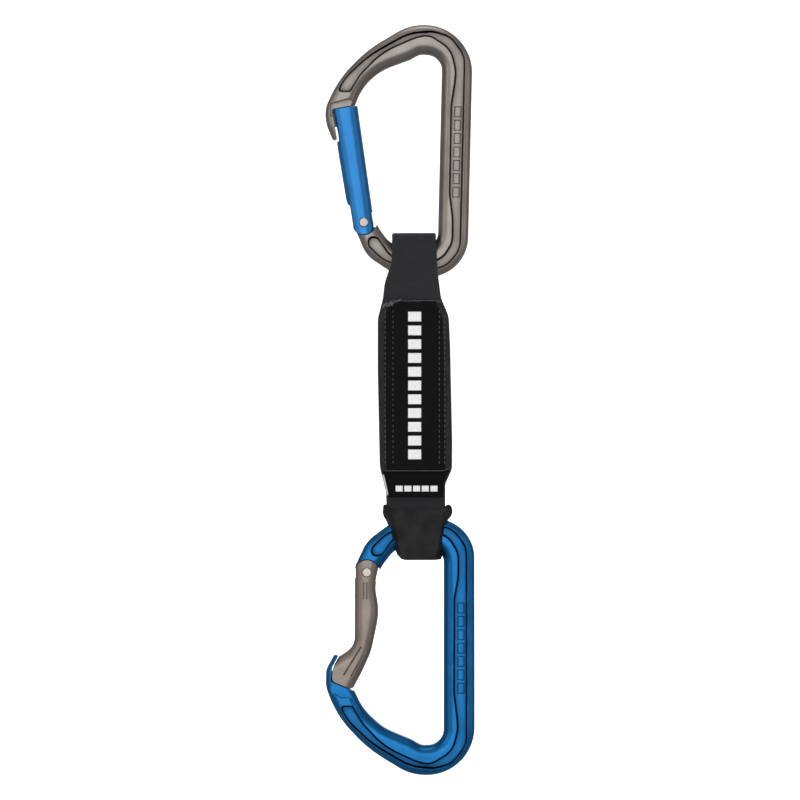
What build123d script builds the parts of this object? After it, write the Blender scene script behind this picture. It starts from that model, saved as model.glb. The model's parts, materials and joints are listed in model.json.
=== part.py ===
from build123d import *
import math
import os

os.makedirs("parts", exist_ok=True)

# Climbing quickdraw, hanging.  Millimetres.  X runs across the carabiners towards their spines,
# Y is the thickness (front is -Y), Z is up.  The origin is the point of the upper carabiner's
# basket that sits on the anchor.

# ---- driving dimensions -------------------------------------------------------------------
BODY_THICK = 9.0            # carabiner body across the faces
WEB_THICK = 5.8             # floor of the I-beam pockets, face to face
POCKET_DRAFT = 25.0         # draft of the pocket walls, degrees
OUTER_ROUND = 3.0           # rounding of the outer edges of the body
INNER_ROUND = 4.1           # rounding of the rope-bearing edges
TONGUE_THICK = 4.0          # nose and heel tongues inside the gate
FORK_GAP = 4.7              # slot of the gate over the tongues
GATE_THICK = 9.0            # gate across the faces
RIVET_D = 3.6
RIVET_FIT = 0.05            # radial running fit of the gate on its rivet
ROD_D = 3.0                 # pushrod
ROD_LENGTH = 6.0
ROD_LOW = 3.35              # pushrod tip above the rivet, gate closed
BORE_D = 3.7                # bore for spring and pushrod
WIRE_D = 0.5                # gate spring wire
SPRING_D = 3.1              # gate spring outside
CAM_R = 3.1                 # heel cam
CAM_SHIFT = (0.69, -0.4)    # heel cam centre off the rivet
HEEL_GAP = 0.35             # body shoulder clear of the gate's round heel
TONGUE_DROP = 1.6           # the heel tongue is full width from this far below the rivet
UP_RECESS_DEPTH = 0.9       # step in the faces round the nose
LOW_RECESS_DEPTH = 0.5
MARK_COUNT = 7              # plain rectangles sunk into the spine
MARK_PITCH = 5.15
MARK_FIRST = (-5.3, 34.3)
MARK_SIZE = (2.7, 4.1)
MARK_LINE = 0.28
MARK_SINK = 0.18
SCOOP_R = 34.0              # thumb scoop of the straight gate
SCOOP_TURN = 40.0
SCOOP_AT = (-45.2, 39.5)
SCOOP_DEPTH = 4.3           # scoop's floor from that point
GROOVE_W = 0.55             # grooves on the nose half of the bent gate
GROOVE_DEPTH = 0.5
FLUTE_W = 0.4               # flutes below its rivet
FLUTE_DEPTH = 0.2
FLUTE_LENGTH = 6.5
SPRING_PITCH = 1.25
SPRING_HIGH = 20.3          # upper end of the gate spring, above the rivet

STRAP_T = 2.0               # one webbing layer
EYE_GAP = 9.7               # inside of an eye across the faces
UPPER_TILT = 1.35           # upper carabiner leans by this angle, degrees
UPPER_AT = (15.81, -87.36)  # upper carabiner's own origin (sling end of the spine line)
LOWER_AT = (18.51, -178.70)  # lower carabiner's own origin

EYE_TOP = -68.4             # outside of the upper fold
NECK_UP = (-88.5, -94.5)    # upper flexing neck
COVER_Z = (-159.9, -94.7)   # cover tape, bottom and top
COVER_T = 0.4
COVER_INSET = 0.7           # cover tape short of the webbing's edges
STITCH_ROWS = (-15.7, -12.9, 4.9, 6.7)
STITCH_PITCH = 2.0
STITCH_SIZE = (0.4, 0.2, 1.3)
STITCH_COUNT = 30
TACK_Z = (-106.0, -160.0)   # bar tacks on the back
TACK_THREADS = 13
TACK_PITCH = 1.3
TACK_LEFT = -12.4
TACK_SIZE = (0.6, 0.4, 9.0)
LABEL_Z = (-170.4, -160.1)  # label, bottom and top
LABEL_T = 0.3
LABEL_INSET = 0.9           # label short of the webbing's edges, clear of the keeper's ears
KEEPER_WALL = 1.8
KEEPER_ROUND = 0.75
NECK_LOW = (-171.5, -176.5)  # lower flexing neck
FOLD_LOW = -192.6           # outside of the lower fold

# ---- outlines in a carabiner's own frame --------------------------------------------------
# corners (x, z, radius): x = 0 on the outside of the spine, z = 0 at the sling end
UP_OUTER = [
    (-56.8, 65.0, 12), (-51.1, 77.3, 40), (-40.7, 88.4, 50), (-24.6, 98.5, 20),
    (-0.1, 98.5, 18.3), (-0.1, 1.5, 15.5), (-27.0, 1.5, 16), (-39.2, 9.2, 12),
    (-44.6, 21.0, 15), (-49.5, 47.0, 3), (-53.2, 53.3, 2), (-55.6, 58.8, 6),
]
UP_HOLE = [
    (-35.0, 20.5, 8), (-29.0, 12.6, 10), (-11.8, 12.6, 6.0), (-11.8, 86.9, 6.0),
    (-20.4, 87.2, 5), (-24.2, 85.0, 6), (-35.0, 80.7, 22), (-42.2, 74.3, 22), (-45.6, 65.0, 8),
]
LOW_OUTER = [
    (-57.4, 64.6, 12), (-52.9, 76.2, 40), (-40.9, 88.7, 50), (-24.6, 98.7, 20),
    (0, 98.7, 18.4), (0, 0, 15.0), (-30.0, 0, 14), (-41.6, 8.6, 14),
    (-46.2, 18.5, 12), (-51.0, 47.0, 3), (-54.2, 52.6, 2), (-57.2, 58.0, 6),
]
LOW_HOLE = [
    (-36.2, 19.0, 9), (-30.0, 10.8, 9), (-11.9, 10.8, 6.0), (-11.9, 86.9, 6.0),
    (-20.4, 87.2, 5), (-24.2, 85.0, 6), (-35.0, 80.5, 22), (-42.8, 73.4, 22), (-47.6, 63.5, 6),
]
# I-beam pocket; its outer side leaves a narrow flange all round
POCKET_RUN = [
    (-46.7, 71.5, 1.6), (-42.6, 78.4, 14), (-34.8, 86.9, 30), (-22.6, 92.6, 24), (-17.4, 94.0, 6),
    (-9.0, 88.9, 9), (-7.0, 80.8, 10), (-7.3, 76.3, 16), (-8.5, 67.5, 16),
]
POCKET_TOP = [
    (-52.6, 71.4, 1.6), (-49.8, 77.4, 20), (-40.3, 86.6, 40), (-25.0, 95.6, 20),
    (-15.6, 96.5, 12), (-8.3, 94.5, 8), (-2.6, 87.0, 9),
]
UP_POCKET = POCKET_RUN + [
    (-8.3, 33.4, 16), (-6.9, 24.4, 14), (-6.75, 15.0, 8), (-10.9, 8.1, 7), (-22.0, 7.9, 20),
    (-29.2, 8.9, 8), (-34.6, 16.6, 2.2), (-38.8, 17.0, 2.4), (-39.3, 12.8, 3),
    (-33.0, 7.0, 14), (-24.0, 4.2, 10), (-15.0, 3.7, 12), (-8.1, 5.1, 10), (-2.6, 12.0, 10),
] + POCKET_TOP[::-1]
LOW_POCKET = POCKET_RUN + [
    (-8.4, 30.5, 16), (-6.85, 22.5, 14), (-6.8, 13.5, 8), (-10.8, 6.4, 7), (-22.0, 5.6, 20),
    (-29.9, 6.6, 8), (-35.2, 14.3, 2.2), (-39.6, 15.0, 2.3), (-40.4, 11.2, 2.5),
    (-34.4, 5.0, 14), (-25.0, 2.1, 20), (-14.6, 1.7, 12), (-8.1, 3.4, 10), (-2.6, 10.4, 10),
] + POCKET_TOP[::-1]
# opening cut for the gate, the shallow step round it, and the thin tongue of the nose
UP_GAP = [
    (-62.0, 53.5, 0), (-51.5, 53.5, 0.8), (-53.8, 65.05, 0.9), (-43.2, 67.3, 0), (-28.0, 67.3, 0),
    (-28.0, 21.0, 0), (-62.0, 21.0, 0),
]
UP_RECESS = [
    (-54.3, 62.0, 0), (-54.4, 67.3, 1.2), (-47.8, 69.3, 2), (-46.0, 68.8, 0.8), (-45.9, 62.0, 0),
]
UP_NOSE = [
    (-54.6, 71.0, 0), (-54.6, 60.0, 0), (-52.9, 58.6, 1.0), (-49.6, 58.6, 1.2),
    (-49.2, 62.5, 1.2), (-47.1, 64.3, 0.8), (-47.0, 68.0, 1.5), (-44.9, 69.2, 0.8), (-46.0, 72.0, 0),
]
LOW_GAP = [
    (-62.0, 52.4, 0), (-52.27, 52.4, 0.5), (-54.95, 57.2, 5), (-55.3, 62.6, 1.2),
    (-46.75, 66.2, 0), (-28.0, 66.6, 0), (-28.0, 19.8, 0), (-62.0, 19.8, 0),
]
LOW_RECESS = [
    (-55.3, 60.0, 0), (-55.5, 66.7, 2.0), (-51.3, 68.9, 3), (-47.2, 68.9, 0.8), (-47.4, 60.0, 0),
]
LOW_NOSE = [
    (-56.0, 71.0, 0), (-56.0, 59.5, 0), (-52.5, 57.0, 1.0), (-50.7, 57.6, 1.0),
    (-51.3, 61.2, 1.0), (-48.7, 62.6, 0.8), (-48.2, 66.0, 1.5), (-46.2, 67.2, 0.8), (-47.0, 72.0, 0),
]
UP_PIN = (-40.5, 21.8)
LOW_PIN = (-41.5, 20.5)
UP_HEEL_R = 4.6             # round heel of the gate about the rivet
LOW_HEEL_R = 4.65
UP_LEAN = 10.9              # gate axis off vertical, degrees, nose end to -X
LOW_LEAN = 0.0

UP_TRIM = [
    (-53.3, 64.8, 0.9), (-51.1, 55.4, 4), (-50.8, 52.9, 0.5), (-51.6, 52.4, 0.5), (-48.4, 33.6, 20),
    (-47.0, 29.0, 1.5), (-46.0, 28.2, 1), (-44.6, 20.6, 0), (-43.9, 14.0, 0), (-33.4, 14.0, 0),
    (-43.2, 66.85, 0),
]
UP_BAR = [(-42.6, 5.0), (-57.0, 80.0), (-46.2, 80.0), (-33.7, 5.0)]
LOW_TRIM = [
    (-50.0, 46.0, 0), (-51.3, 51.4, 0), (-54.5, 57.2, 4), (-54.9, 62.3, 1.6), (-46.6, 65.85, 2.2),
    (-38.0, 47.0, 0), (-32.0, 12.0, 0), (-50.0, 12.0, 0),
]
LOW_BAR = [
    (-46.2, 6.0, 0), (-46.2, 49.2, 7), (-62.0, 59.5, 0), (-52.0, 75.0, 0), (-40.2, 53.0, 40),
    (-36.7, 36.0, 24), (-38.3, 26.5, 12), (-36.6, 18.0, 10), (-36.6, 6.0, 0),
]
# ---- outlines of the sling, in the hanging frame ------------------------------------------
STRAP = [
    (-13.4, -60.0, 0), (-13.4, -79.5, 12), (-16.3, -88.0, 15), (-16.9, -93.8, 8),
    (-18.9, -101.5, 12), (-18.9, -122.0, 80), (-18.1, -158.5, 12), (-15.8, -168.5, 6),
    (-15.5, -175.5, 10), (-12.9, -182.0, 10), (-11.9, -188.6, 1.5), (-9.6, -190.8, 1.5),
    (-9.2, -196.0, 0), (2.8, -196.0, 0), (3.2, -190.6, 1.5), (5.6, -188.4, 1.5), (6.2, -182.0, 10),
    (7.3, -175.5, 10), (7.4, -165.2, 3), (9.9, -159.5, 6), (10.0, -149.0, 40), (9.2, -112.0, 60),
    (8.7, -100.8, 10), (5.7, -93.6, 8), (4.4, -84.0, 20), (3.7, -73.0, 20), (3.7, -60.0, 0),
]
KEEPER = [
    (-35.6, -4.9, 2.2), (-35.6, 2.7, 2.2), (-31.7, 4.4, 2.5), (-30.2, 12.4, 1.5),
    (-28.2, 15.9, 1.4), (-15.4, 15.9, 1.0), (-14.7, 14.0, 0.8), (-12.3, 14.0, 0.8),
    (-12.0, 3.2, 3), (-8.2, 1.7, 1.6), (-8.2, -7.2, 2.2), (-12.2, -6.2, 2), (-32.4, -4.9, 1.5),
]


# ---- helpers ------------------------------------------------------------------------------
def outline(corners):
    """Flat face in the XZ plane from (x, z, radius) corners."""
    points = [(c[0], c[1]) for c in corners]
    radii = [c[2] for c in corners]
    return Plane.XZ * make_face(FilletPolyline(*points, radius=radii, close=True))


def plate(corners, thick):
    """Outline given a thickness, centred on Y = 0."""
    return extrude(outline(corners), thick / 2, both=True)


def side_loop(corners, width, middle):
    """Strap whose edge is drawn in the YZ plane, extruded across X."""
    points = [(c[0], c[1]) for c in corners]
    radii = [c[2] for c in corners]
    face = Plane.YZ.offset(middle) * make_face(FilletPolyline(*points, radius=radii, close=True))
    return extrude(face, width / 2, both=True)


def round_bar(x, z, radius, length):
    """Cylinder along Y at (x, z)."""
    return Pos(x, 0, z) * Rot(90, 0, 0) * Cylinder(radius, length)


def face_edges(part, level):
    """Edges lying in the planes Y = +level and Y = -level."""
    flat = [f for f in part.faces() if abs(abs(f.center().Y) - level) < 1e-4]
    return ShapeList([e for f in flat for e in f.edges()])


def place_upper(part):
    return Pos(UPPER_AT[0], 0, UPPER_AT[1]) * Rot(0, UPPER_TILT, 0) * part


def place_lower(part):
    return Pos(LOWER_AT[0], 0, LOWER_AT[1]) * Rot(180, 0, 0) * part


def save(part, name):
    part.label = name
    export_step(part, "parts/" + name + ".step")


# ---- carabiner body -----------------------------------------------------------------------
def ring(outer, hole):
    """Closed forged ring with rounded outer and rope-bearing edges."""
    half = BODY_THICK / 2
    blank = plate(outer, BODY_THICK)
    blank = fillet(face_edges(blank, half), OUTER_ROUND)
    blank = blank - plate(hole, BODY_THICK + 2)
    rim = [f for f in blank.faces() if abs(abs(f.center().Y) - half) < 1e-4]
    inner = ShapeList([e for f in rim for w in f.inner_wires() for e in w.edges()])
    return fillet(inner, INNER_ROUND)


def both_faces(front):
    """A front-face tool and its mirror image on the back."""
    return front + mirror(front, Plane.XZ)


def pocket_cut(corners):
    """Pair of drafted pockets, one from each face."""
    top = BODY_THICK / 2 + 0.3      # the tool starts just clear of the face
    depth = top - WEB_THICK / 2
    face = Plane.XZ.offset(top) * make_face(
        FilletPolyline(*[(c[0], c[1]) for c in corners], radius=[c[2] for c in corners], close=True))
    return both_faces(extrude(face, -depth, taper=POCKET_DRAFT))


def recess_cut(corners, depth):
    """Shallow flat step in both faces."""
    return plate(corners, BODY_THICK + 2) - Box(200, BODY_THICK - 2 * depth, 300)


def spine_marks():
    """Row of plain outlined rectangles sunk into the spine web, both faces."""
    marks = None
    for i in range(MARK_COUNT):
        inner = Box(MARK_SIZE[0] - 2 * MARK_LINE, BODY_THICK, MARK_SIZE[1] - 2 * MARK_LINE)
        frame = Box(MARK_SIZE[0], BODY_THICK, MARK_SIZE[1]) - inner
        frame = Pos(MARK_FIRST[0], 0, MARK_FIRST[1] + i * MARK_PITCH) * frame
        marks = frame if marks is None else marks + frame
    return marks - Box(60, WEB_THICK - 2 * MARK_SINK, 300)


def carabiner_body(outer, hole, pocket, gap, recess, depth, nose, pin, heel_r):
    """Forged I-beam body with nose tongue and heel cam."""
    body = ring(outer, hole)
    body = body - pocket_cut(pocket)
    body = body - recess_cut(recess, depth)
    body = body - plate(gap, BODY_THICK + 2)
    body = body - round_bar(pin[0], pin[1], heel_r + HEEL_GAP, BODY_THICK + 2)
    cam = round_bar(pin[0] + CAM_SHIFT[0], pin[1] + CAM_SHIFT[1], CAM_R, TONGUE_THICK)
    root = round_bar(pin[0], pin[1], heel_r + HEEL_GAP + 0.3, TONGUE_THICK)
    root = root & Pos(pin[0], 0, pin[1] - 10 - TONGUE_DROP) * Box(20, TONGUE_THICK + 1, 20)
    thin = cam + root + plate(nose, TONGUE_THICK)
    thin = (thin & plate(outer, TONGUE_THICK + 1)) - plate(hole, TONGUE_THICK + 2)
    body = body + thin
    body = body - spine_marks()
    return body - round_bar(pin[0], pin[1], RIVET_D / 2, 20)


# ---- gates --------------------------------------------------------------------------------
def gate_frame(pin, lean):
    """Placement whose Z runs up the gate from its rivet."""
    return Pos(pin[0], 0, pin[1]) * Rot(0, -lean, 0)


def gate_slots(pin, lean, nose_low, nose_wall):
    """Heel fork, nose slot, spring bore and rivet hole of a gate."""
    tool = gate_frame(pin, lean)
    heel = tool * Pos(0, 0, -5) * Box(16, FORK_GAP, 10) + round_bar(pin[0], pin[1], 5.2, FORK_GAP)
    mouth = plate([(nose_wall[0], nose_wall[1], 0), (nose_wall[2], nose_wall[3], 0),
                   (-60.0, 72.0, 0), (-60.0, nose_low, 0)], FORK_GAP)
    bore = tool * Pos(0, 0, 12.5) * Cylinder(BORE_D / 2, 17)
    pin_hole = round_bar(pin[0], pin[1], RIVET_D / 2 + RIVET_FIT, 20)
    return heel + mouth + bore + pin_hole


def heel_trim(pin, heel_r):
    """What is cut away below the rivet to leave a round heel."""
    below = Pos(pin[0], 0, pin[1] - 10) * Box(24, GATE_THICK + 2, 20)
    return below - round_bar(pin[0], pin[1], heel_r, GATE_THICK + 4)


def upper_gate():
    """Straight gate with a thumb scoop worked into its outer side."""
    bar = extrude(Plane.XZ * make_face(Polyline(*UP_BAR, close=True)), GATE_THICK / 2, both=True)
    long_edges = [e for e in face_edges(bar, GATE_THICK / 2) if e.length > 50]
    bar = fillet(ShapeList(long_edges), 3.9)
    gate = bar & plate(UP_TRIM, GATE_THICK + 1)
    gate = gate - heel_trim(UP_PIN, UP_HEEL_R)
    for side in (-1, 1):
        scoop = Pos(-SCOOP_R - SCOOP_DEPTH, 0, 0) * Rot(90, 0, 0) * Cylinder(SCOOP_R, 14)
        scoop = Rot(0, -UP_LEAN, 0) * Rot(0, 0, -side * SCOOP_TURN) * scoop
        gate = gate - Pos(SCOOP_AT[0], 0, SCOOP_AT[1]) * scoop
    return gate - gate_slots(UP_PIN, UP_LEAN, 57.9, (-47.0, 57.9, -45.9, 72.0))


def lower_gate():
    """Bent gate, with a pair of grooves down its nose half."""
    bar = plate(LOW_BAR, GATE_THICK)
    ends = [e for e in face_edges(bar, GATE_THICK / 2)
            if e.center().Z < 7 or e.center().Z > 64 or e.center().X < -61]
    keep = [e for e in face_edges(bar, GATE_THICK / 2) if e not in ends]
    bar = fillet(ShapeList(keep), 3.6)
    gate = bar & plate(LOW_TRIM, GATE_THICK + 1)
    gate = gate - heel_trim(LOW_PIN, LOW_HEEL_R)
    for low, high in (((-43.6, 49.0), (-50.4, 60.0)), ((-41.6, 50.0), (-47.4, 60.4))):
        run = math.hypot(high[0] - low[0], high[1] - low[1])
        turn = math.degrees(math.atan2(high[0] - low[0], high[1] - low[1]))
        middle = Pos((low[0] + high[0]) / 2, 0, (low[1] + high[1]) / 2)
        groove = Box(GROOVE_W, GATE_THICK + 1, run) - Box(1, GATE_THICK - 2 * GROOVE_DEPTH, run + 1)
        gate = gate - middle * Rot(0, turn, 0) * groove
    for x in (-42.7, -41.5, -40.3):
        flute = Box(FLUTE_W, GATE_THICK + 1, FLUTE_LENGTH) - Box(1, GATE_THICK - 2 * FLUTE_DEPTH, 8)
        gate = gate - Pos(x, 0, 27.6) * flute
    return gate - gate_slots(LOW_PIN, LOW_LEAN, 56.3, (-48.3, 56.3, -46.9, 66.0))


def rivet(pin):
    """Hinge rivet with a slightly domed head at each face."""
    length = GATE_THICK + 0.3
    body = round_bar(pin[0], pin[1], RIVET_D / 2, length)
    rims = [e for e in body.edges() if e.geom_type == GeomType.CIRCLE]
    return chamfer(ShapeList(rims), 0.25)


def pushrod(pin, lean):
    """Round-nosed rod between the gate spring and the heel cam."""
    rod = Cylinder(ROD_D / 2, ROD_LENGTH)
    rims = [e for e in rod.edges() if e.geom_type == GeomType.CIRCLE]
    return gate_frame(pin, lean) * Pos(0, 0, ROD_LOW + ROD_LENGTH / 2) * chamfer(ShapeList(rims), 0.4)


def gate_spring(pin, lean):
    """Compression spring in the gate bore, above the pushrod."""
    low = ROD_LOW + ROD_LENGTH + WIRE_D * 0.8
    mean = (SPRING_D - WIRE_D) / 2
    path = Helix(pitch=SPRING_PITCH, height=SPRING_HIGH - low, radius=mean)
    section = Plane(origin=path @ 0, z_dir=path % 0) * Circle(WIRE_D / 2)
    return gate_frame(pin, lean) * Pos(0, 0, low) * sweep(section, path=path)


# ---- sling --------------------------------------------------------------------------------
def band(high, low):
    """Slab between two heights, for cutting the sling into its pieces."""
    return Pos(0, 0, (high + low) / 2) * Box(80, 40, high - low)


def upper_loop():
    """Webbing round the upper carabiner, from the fold down to the sewn stack."""
    inside = EYE_GAP / 2
    out = inside + STRAP_T
    thin = STRAP_T / 2
    stack = STRAP_T * 1.5
    drawn = [
        (-stack, -98.0, 0), (-stack, -92.6, 8), (-out, -87.0, 6), (-out, EYE_TOP, 5),
        (out, EYE_TOP, 5), (out, -87.0, 6), (stack, -92.6, 8), (stack, -98.0, 0),
        (thin, -98.0, 0), (thin, -92.2, 6), (inside, -86.8, 6), (inside, EYE_TOP - STRAP_T, 3),
        (-inside, EYE_TOP - STRAP_T, 3), (-inside, -86.8, 6), (-thin, -92.2, 6), (-thin, -98.0, 0),
    ]
    return side_loop(drawn, 60, -4.5) & plate(STRAP, 30)


def lower_loop():
    """Webbing round the lower carabiner, from the sewn stack down to the fold."""
    inside = EYE_GAP / 2
    out = inside + STRAP_T
    thin = STRAP_T / 2
    stack = STRAP_T * 1.5
    drawn = [
        (-stack, -168.0, 0), (-stack, -172.8, 8), (-out, -181.0, 6), (-out, FOLD_LOW, 5),
        (out, FOLD_LOW, 5), (out, -181.0, 6), (stack, -172.8, 8), (stack, -168.0, 0),
        (thin, -168.0, 0), (thin, -173.2, 6), (inside, -181.2, 6), (inside, FOLD_LOW + 1.9, 3),
        (-inside, FOLD_LOW + 1.9, 3), (-inside, -181.2, 6), (-thin, -173.2, 6), (-thin, -168.0, 0),
    ]
    return side_loop(drawn, 60, -4.5) & plate(STRAP, 30)


def sling_layer(level):
    """One of the flat sewn layers; level -1 front, 0 middle, 1 back."""
    middle = level * STRAP_T
    slab = Pos(0, middle, (NECK_UP[1] + NECK_LOW[0]) / 2) * Box(80, STRAP_T, NECK_UP[1] - NECK_LOW[0])
    if level == 0:
        slab = slab & band(-100.0, -166.0)
    return slab & plate(STRAP, 30)


def bar_tack(z):
    """Block of dense stitching on the back of the sling."""
    threads = None
    level = STRAP_T * 1.5 + TACK_SIZE[1] / 2
    for i in range(TACK_THREADS):
        stitch = Pos(TACK_LEFT + i * TACK_PITCH, level, z) * Box(*TACK_SIZE)
        threads = stitch if threads is None else threads + stitch
    return threads


def cover_tape():
    """Smooth printed tape sewn over the front of the sewn stack."""
    low, high = COVER_Z
    front = -STRAP_T * 1.5 - COVER_T / 2
    tape = Pos(0, front, (low + high) / 2) * Box(80, COVER_T, high - low)
    for shift in (-COVER_INSET, COVER_INSET):
        tape = tape & (Pos(shift, 0, 0) * plate(STRAP, 30))
    return tape


def cover_stitches():
    """Four rows of lockstitch that hold the cover tape."""
    stitches = []
    level = -STRAP_T * 1.5 - COVER_T - STITCH_SIZE[1] / 2
    for i in range(STITCH_COUNT):
        z = COVER_Z[1] - 3.2 - i * STITCH_PITCH
        for x in STITCH_ROWS:
            stitches.append(Pos(x, level, z) * Box(*STITCH_SIZE))
    return Compound(children=stitches)


def label_tab():
    """Folded label sewn across the lower end of the sling."""
    level = -STRAP_T * 1.5 - LABEL_T / 2
    slab = Pos(0, level, sum(LABEL_Z) / 2) * Box(80, LABEL_T, LABEL_Z[1] - LABEL_Z[0])
    for shift in (-LABEL_INSET, LABEL_INSET):
        slab = slab & (Pos(shift, 0, 0) * plate(STRAP, 30))
    return slab


def keeper():
    """Rubber boot that holds the lower carabiner in its eye."""
    gap = EYE_GAP / 2 + STRAP_T + 0.05
    floor = LOWER_AT[1] - FOLD_LOW + 0.1
    boot = plate(KEEPER, 2 * (gap + KEEPER_WALL))
    boot = fillet(face_edges(boot, gap + KEEPER_WALL), KEEPER_ROUND)
    boot = boot - Pos(-22, 0, -11.5) * Box(21.0, 40, 16)
    rod_room = plate(LOW_OUTER, 2 * gap) & Pos(-20, 0, floor / 2) * Box(80, 40, floor)
    boot = place_lower(boot - rod_room)
    for shift in (-0.15, 0.15):
        webbing_room = plate(STRAP, 2 * gap) & band(-160.0, LOWER_AT[1] - floor)
        boot = boot - Pos(shift, 0, 0) * webbing_room
    return boot


# ---- build --------------------------------------------------------------------------------
upper_body = carabiner_body(
    UP_OUTER, UP_HOLE, UP_POCKET, UP_GAP, UP_RECESS, UP_RECESS_DEPTH, UP_NOSE, UP_PIN, UP_HEEL_R)
lower_body = carabiner_body(
    LOW_OUTER, LOW_HOLE, LOW_POCKET, LOW_GAP, LOW_RECESS, LOW_RECESS_DEPTH, LOW_NOSE, LOW_PIN, LOW_HEEL_R)
save(place_upper(upper_body), "upper_carabiner_body")
save(place_lower(lower_body), "lower_carabiner_body")
save(place_upper(upper_gate()), "upper_gate")
save(place_lower(lower_gate()), "lower_gate")
save(place_upper(rivet(UP_PIN)), "upper_gate_rivet")
save(place_lower(rivet(LOW_PIN)), "lower_gate_rivet")
save(place_upper(pushrod(UP_PIN, UP_LEAN)), "upper_pushrod")
save(place_lower(pushrod(LOW_PIN, LOW_LEAN)), "lower_pushrod")
save(place_upper(gate_spring(UP_PIN, UP_LEAN)), "upper_gate_spring")
save(place_lower(gate_spring(LOW_PIN, LOW_LEAN)), "lower_gate_spring")

top_loop = upper_loop()
save(top_loop & band(-60.0, NECK_UP[0]), "webbing_upper_eye")
save(top_loop & band(NECK_UP[0], NECK_UP[1]), "webbing_upper_neck")
low_loop = lower_loop()
save(low_loop & band(NECK_LOW[0], NECK_LOW[1]), "webbing_lower_neck")
save(low_loop & band(NECK_LOW[1], -198.0), "webbing_lower_eye")
save(sling_layer(-1), "webbing_front_layer")
save(sling_layer(1), "webbing_back_layer")
save(sling_layer(0), "webbing_overlap_end")
save(bar_tack(TACK_Z[0]), "upper_bar_tack")
save(bar_tack(TACK_Z[1]), "lower_bar_tack")
save(cover_tape(), "cover_tape")
save(cover_stitches(), "cover_stitches")
save(label_tab(), "label_tab")
save(keeper(), "keeper")
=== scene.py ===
import json
import math
import random

import bmesh
import bpy
import numpy as np
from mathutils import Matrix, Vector, noise


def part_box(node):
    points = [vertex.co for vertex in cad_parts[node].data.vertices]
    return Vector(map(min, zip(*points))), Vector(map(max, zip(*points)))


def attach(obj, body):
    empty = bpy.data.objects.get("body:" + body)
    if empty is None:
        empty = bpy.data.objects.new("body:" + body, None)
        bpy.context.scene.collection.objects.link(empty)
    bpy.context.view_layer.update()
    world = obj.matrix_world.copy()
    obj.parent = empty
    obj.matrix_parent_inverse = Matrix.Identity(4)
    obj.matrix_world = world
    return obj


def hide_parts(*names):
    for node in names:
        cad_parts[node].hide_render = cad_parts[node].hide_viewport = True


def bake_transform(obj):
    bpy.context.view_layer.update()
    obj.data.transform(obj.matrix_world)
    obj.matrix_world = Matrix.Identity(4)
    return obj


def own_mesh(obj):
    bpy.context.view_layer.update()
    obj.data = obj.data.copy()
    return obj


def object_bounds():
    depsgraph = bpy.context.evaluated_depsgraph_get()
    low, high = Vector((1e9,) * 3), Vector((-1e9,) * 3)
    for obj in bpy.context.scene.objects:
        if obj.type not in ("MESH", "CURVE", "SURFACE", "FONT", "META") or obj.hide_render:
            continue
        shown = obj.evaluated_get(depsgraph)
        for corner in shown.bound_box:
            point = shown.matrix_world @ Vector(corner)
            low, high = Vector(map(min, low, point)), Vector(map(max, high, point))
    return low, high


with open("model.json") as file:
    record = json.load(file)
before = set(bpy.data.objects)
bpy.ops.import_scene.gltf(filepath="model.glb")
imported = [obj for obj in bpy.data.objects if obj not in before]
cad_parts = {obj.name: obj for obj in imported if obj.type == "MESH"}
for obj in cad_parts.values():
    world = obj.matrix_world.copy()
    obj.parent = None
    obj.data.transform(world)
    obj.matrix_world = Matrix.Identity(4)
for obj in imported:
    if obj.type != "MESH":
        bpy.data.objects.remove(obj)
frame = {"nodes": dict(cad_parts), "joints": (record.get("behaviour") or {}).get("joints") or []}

cad_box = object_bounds()

# Everything is in metres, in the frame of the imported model: X towards the carabiners' spines,
# -Y towards the viewer, Z up.  MM turns millimetres into metres.
MM = 0.001
nodes = frame["nodes"]
joints = {j["name"]: j for j in frame["joints"]}


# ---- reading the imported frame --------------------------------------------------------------
def edge_table(names):
    """Both ends of every mesh edge of some CAD nodes, as one array."""
    rows = []
    for name in names:
        mesh = nodes[name].data
        co = np.array([v.co for v in mesh.vertices])
        ends = np.array([e.vertices for e in mesh.edges])
        rows.append(co[ends])
    return np.concatenate(rows)


def side_limits(edges, z):
    """Leftmost and rightmost X of the edges where they cross a height."""
    a, b = edges[:, 0], edges[:, 1]
    cross = (a[:, 2] - z) * (b[:, 2] - z) <= 0
    cross &= np.abs(a[:, 2] - b[:, 2]) > 1e-9
    a, b = a[cross], b[cross]
    x = a[:, 0] + (b[:, 0] - a[:, 0]) * (z - a[:, 2]) / (b[:, 2] - a[:, 2])
    return float(x.min()), float(x.max())


WEBBING_NODES = ("webbing_upper_eye", "webbing_upper_neck", "webbing_front_layer",
                 "webbing_lower_neck", "webbing_lower_eye")
strap_edges = edge_table(WEBBING_NODES)
front_low, front_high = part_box("webbing_front_layer")
eye_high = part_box("webbing_upper_eye")[1]
neck_low, neck_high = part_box("webbing_upper_neck")
foot_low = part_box("webbing_lower_eye")[0]
ankle_low, ankle_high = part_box("webbing_lower_neck")
cover_low, cover_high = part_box("cover_tape")
label_low, label_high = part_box("label_tab")
keeper_low, keeper_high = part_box("keeper")

STRAP_THICK = front_high.y - front_low.y
LIMIT_STEP = 0.25 * MM      # spacing of the heights at which the sling's edges are read
LIMIT_MARGIN = 0.3 * MM     # how far inside the ends of the sling the first and last lie
limit_low, limit_high = foot_low.z + LIMIT_MARGIN, eye_high.z - LIMIT_MARGIN
limit_count = int((limit_high - limit_low) / LIMIT_STEP)
limit_heights = np.linspace(limit_low, limit_high, limit_count)
limit_sides = np.array([side_limits(strap_edges, z) for z in limit_heights])


def strap_sides(z):
    """Left and right edge of the sling at a height."""
    left = float(np.interp(z, limit_heights, limit_sides[:, 0]))
    right = float(np.interp(z, limit_heights, limit_sides[:, 1]))
    return left, right


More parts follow.
